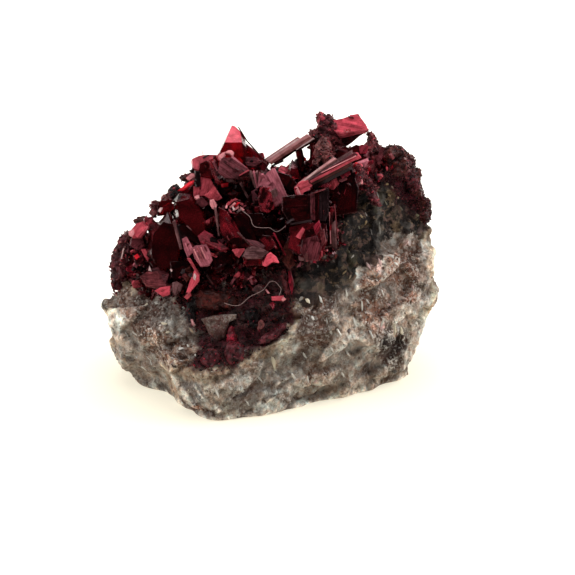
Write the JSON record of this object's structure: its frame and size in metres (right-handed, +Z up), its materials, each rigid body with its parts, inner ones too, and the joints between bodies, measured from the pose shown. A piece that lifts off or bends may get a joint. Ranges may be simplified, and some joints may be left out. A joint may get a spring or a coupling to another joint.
{
  "type": "erythrite mineral specimen",
  "caption": "Broken lump of grey granular quartz with a druse of dark crimson bladed erythrite crystals over its top and upper front, resting on a flat cut foot.",
  "frame": {"origin": "middle of the flat cut foot on which the lump rests", "axes": "+Z up, away from the foot; +X to the right along the lump's length, towards its higher end; -Y out of the front, the side that the druse slopes down to"},
  "size_m": [0.0295, 0.0208, 0.0236],
  "materials": {
    "quartz": "broken granular quartz, grey to white, waxy to glassy, with brown and black stains",
    "erythrite": "dark crimson to magenta, vitreous to pearly on cleavage faces, striated along the blades, see-through where thin"
  },
  "bodies": {
    "root": {"quartz_matrix": "quartz", "erythrite_druse": "erythrite", "erythrite_shoulder_crust": "erythrite", "erythrite_pocket_crust": "erythrite"}
  },
  "joints": []
}
